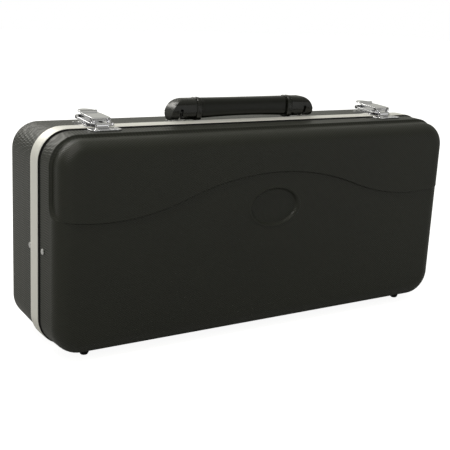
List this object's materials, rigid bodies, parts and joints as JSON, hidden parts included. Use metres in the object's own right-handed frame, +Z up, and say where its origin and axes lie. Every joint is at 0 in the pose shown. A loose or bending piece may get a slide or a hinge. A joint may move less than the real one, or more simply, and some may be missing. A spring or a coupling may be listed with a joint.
{
  "type": "trumpet case",
  "caption": "Hard two-shell trumpet case with aluminium valance, draw latches, carrying handle, bottom hinges, folding lid stays and padded insert.",
  "frame": {"origin": "floor level under the middle of the case's length and depth, standing on its feet", "axes": "+X along the length, -Y out of the lid's broad face, +Z up towards the handle"},
  "size_m": [0.5432, 0.154, 0.2706],
  "materials": {
    "shell": "moulded, fine weave grain",
    "valance": "brushed lengthwise",
    "seal": "dull",
    "foot": "dull",
    "steel": "plated",
    "latch": "bright",
    "handle_plastic": "gloss",
    "handle_grip": "soft",
    "lining": "short plush"
  },
  "bodies": {
    "base": {"back_shell": "shell", "base_valance": "valance", "base_feet": "foot", "base_foot_rivets": "steel", "hinge_base_leaf_left": "steel", "hinge_base_leaf_right": "steel", "hinge_pin_left": "steel", "hinge_pin_right": "steel", "hinge_base_rivets": "steel", "stay_base_rivets": "steel", "bracket_rivets": "steel", "handle_bracket_left": "steel", "handle_bracket_right": "steel", "handle_pins": "steel", "latch_base_rivets": "steel", "latch_base_left": "latch", "latch_base_right": "latch", "latch_hinge_pin_left": "latch", "latch_hinge_pin_right": "latch", "insert_floor_pad": "lining", "accessory_tray": "lining", "mouthpiece_block": "lining", "slide_block": "lining", "end_pad_left": "lining", "end_pad_right": "lining", "bell_block_low": "lining", "bell_block_high": "lining"},
    "lid": {"lid_shell": "shell", "lid_valance": "valance", "lid_seal": "seal", "lid_feet": "foot", "lid_foot_rivets": "steel", "hinge_lid_leaf_left": "steel", "hinge_lid_leaf_right": "steel", "hinge_lid_rivets": "steel", "stay_lid_rivets": "steel", "catch_plate_left": "latch", "catch_plate_right": "latch", "catch_rivets": "steel", "lid_pad": "lining"},
    "stay_lower_left": {"stay_base_arm_left": "steel", "stay_elbow_pin_left": "steel"},
    "stay_upper_left": {"stay_lid_arm_left": "steel"},
    "hasp_left": {"latch_hasp_left": "latch", "latch_lever_pin_left": "latch"},
    "lever_left": {"latch_lever_left": "latch"},
    "stay_lower_right": {"stay_base_arm_right": "steel", "stay_elbow_pin_right": "steel"},
    "stay_upper_right": {"stay_lid_arm_right": "steel"},
    "hasp_right": {"latch_hasp_right": "latch", "latch_lever_pin_right": "latch"},
    "lever_right": {"latch_lever_right": "latch"},
    "handle": {"handle_grip": "handle_grip", "handle_cap_left": "handle_plastic", "handle_cap_right": "handle_plastic", "handle_band_left": "handle_plastic", "handle_band_right": "handle_plastic", "handle_strap": "steel"}
  },
  "joints": [
    {"name": "lid_hinge", "type": "hinge", "parent": "base", "child": "lid", "pos_m": [0, -0.0255, 0.0035], "axis": [1, 0, 0], "range_deg": [0, 95]},
    {"name": "stay_base_pivot_left", "type": "hinge", "parent": "base", "child": "stay_lower_left", "pos_m": [-0.2553, 0, 0.1155], "axis": [1, 0, 0], "range_deg": [0, 101.5]},
    {"name": "stay_elbow_left", "type": "hinge", "parent": "stay_lower_left", "child": "stay_upper_left", "pos_m": [-0.2544, -0.01158, 0.22087], "axis": [1, 0, 0], "range_deg": [-107.6, 0]},
    {"name": "stay_base_pivot_right", "type": "hinge", "parent": "base", "child": "stay_lower_right", "pos_m": [0.2553, 0, 0.1155], "axis": [1, 0, 0], "range_deg": [0, 101.5]},
    {"name": "stay_elbow_right", "type": "hinge", "parent": "stay_lower_right", "child": "stay_upper_right", "pos_m": [0.2544, -0.01158, 0.22087], "axis": [1, 0, 0], "range_deg": [-107.6, 0]},
    {"name": "hasp_left", "type": "hinge", "parent": "base", "child": "hasp_left", "pos_m": [-0.1995, 0.013, 0.2515], "axis": [-1, 0, 0], "range_deg": [0, 70]},
    {"name": "lever_left", "type": "hinge", "parent": "hasp_left", "child": "lever_left", "pos_m": [-0.1995, -0.0235, 0.252], "axis": [1, 0, 0], "range_deg": [0, 75]},
    {"name": "hasp_right", "type": "hinge", "parent": "base", "child": "hasp_right", "pos_m": [0.1995, 0.013, 0.2515], "axis": [-1, 0, 0], "range_deg": [0, 70]},
    {"name": "lever_right", "type": "hinge", "parent": "hasp_right", "child": "lever_right", "pos_m": [0.1995, -0.0235, 0.252], "axis": [1, 0, 0], "range_deg": [0, 75]},
    {"name": "handle_swing", "type": "hinge", "parent": "base", "child": "handle", "pos_m": [0, 0.0055, 0.2539], "axis": [1, 0, 0], "range_deg": [-70, 70]}
  ],
  "couplings": [
    {"joint": "stay_base_pivot_left", "follows": "lid_hinge", "ratio": 1.0648},
    {"joint": "stay_elbow_left", "follows": "lid_hinge", "ratio": -1.1294},
    {"joint": "stay_base_pivot_right", "follows": "lid_hinge", "ratio": 1.0648},
    {"joint": "stay_elbow_right", "follows": "lid_hinge", "ratio": -1.1294}
  ]
}
